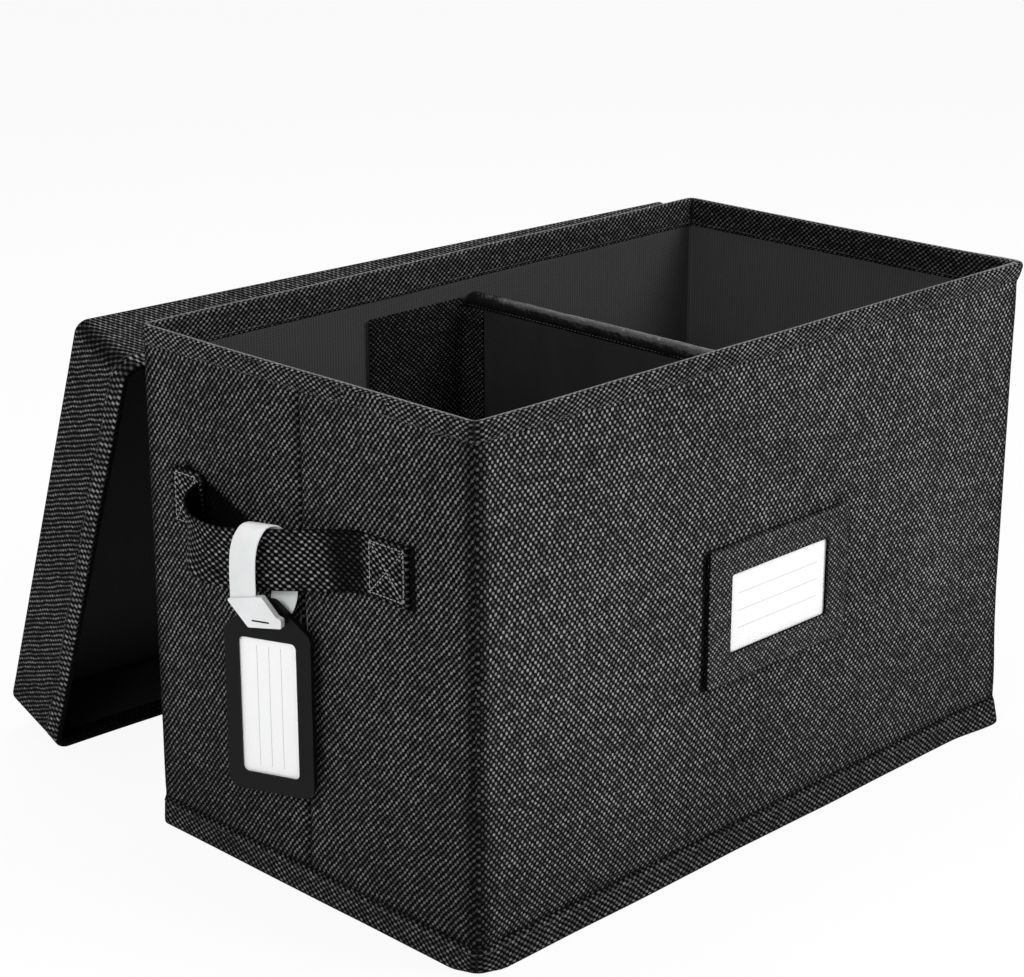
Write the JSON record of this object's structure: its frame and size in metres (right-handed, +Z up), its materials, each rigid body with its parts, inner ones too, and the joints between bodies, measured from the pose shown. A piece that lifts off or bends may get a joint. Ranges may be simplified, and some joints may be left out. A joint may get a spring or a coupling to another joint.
{
  "type": "record carrying case",
  "caption": "Tall fabric-covered storage case with stiff walls, strap handles, label pocket, hanging tag, loose divider and a lift-off lid leaning on its back.",
  "frame": {"origin": "centre of the case's foot, on the floor", "axes": "+X along the case to its right end, -Y the front with the label pocket, +Y the back where the lid leans, +Z up"},
  "size_m": [0.6673, 0.5552, 0.38],
  "materials": {
    "woven": "coarse plain weave, charcoal black with grey flecks",
    "hem": "coarse weave folded and stitched",
    "lining": "smooth lining with fine ribs",
    "lid_lining": "smooth black lining",
    "board": "grey board",
    "hook_tape": "hook and loop tape",
    "strap": "coarse weave strap",
    "pocket_cloth": "coarse weave",
    "flap_cloth": "coarse weave",
    "divider_cloth": "smooth black cloth",
    "binding": "shiny black binding tape",
    "clear_film": "clear film",
    "card": "white card with ruled lines",
    "loop_plastic": "milky white",
    "tag_plastic": "charcoal satin"
  },
  "bodies": {
    "case": {"front_cover": "woven", "back_cover": "woven", "left_end_cover": "woven", "right_end_cover": "woven", "bottom_cover": "woven", "bottom_hem": "hem", "rim_facing": "hem", "wall_lining": "lining", "front_board": "board", "back_board": "board", "left_end_board_front": "board", "left_end_board_back": "board", "right_end_board_front": "board", "right_end_board_back": "board", "wall_loop_strips": "hook_tape", "left_handle": "strap", "right_handle": "strap", "label_frame": "pocket_cloth", "label_window": "clear_film"},
    "lid": {"lid_top_cover": "woven", "lid_front_skirt": "woven", "lid_back_skirt": "woven", "lid_left_skirt": "woven", "lid_right_skirt": "woven", "lid_top_board": "board", "lid_front_board": "board", "lid_back_board": "board", "lid_left_board": "board", "lid_right_board": "board", "lid_lining": "lid_lining", "lid_rim_facing": "hem"},
    "base_board": {"base_board": "board", "base_board_cover": "lining"},
    "divider": {"divider_board": "board", "divider_cover": "divider_cloth", "divider_binding": "binding", "divider_back_flap": "flap_cloth", "divider_front_flap": "flap_cloth", "divider_hook_strips": "hook_tape"},
    "label_card": {"label_card": "card"},
    "tag_loop": {"tag_loop_strap": "loop_plastic", "tag_buckle": "loop_plastic"},
    "tag": {"tag_frame": "tag_plastic", "tag_window": "clear_film"},
    "tag_card": {"tag_card": "card"}
  },
  "joints": [
    {"name": "lid_lift", "type": "slide", "parent": "case", "child": "lid", "axis": [0, 0, 1], "range_m": [0, 0.4]},
    {"name": "base_board_lift", "type": "slide", "parent": "case", "child": "base_board", "axis": [0, 0, 1], "range_m": [0, 0.4]},
    {"name": "divider_lift", "type": "slide", "parent": "base_board", "child": "divider", "axis": [0, 0, 1], "range_m": [0, 0.4]},
    {"name": "label_card_slide", "type": "slide", "parent": "case", "child": "label_card", "axis": [-1, 0, 0], "range_m": [0, 0.135]},
    {"name": "loop_swing", "type": "hinge", "parent": "case", "child": "tag_loop", "pos_m": [-0.315, 0.0085, 0.2768], "axis": [-0.3746, 0.9272, 0], "range_deg": [-1, 7]},
    {"name": "tag_swing", "type": "hinge", "parent": "tag_loop", "child": "tag", "pos_m": [-0.315, 0.0085, 0.2128], "axis": [-0.3746, 0.9272, 0], "range_deg": [-1.5, 12]},
    {"name": "tag_card_slide", "type": "slide", "parent": "tag", "child": "tag_card", "axis": [-0.3746, 0.9272, 0], "range_m": [0, 0.055]}
  ]
}
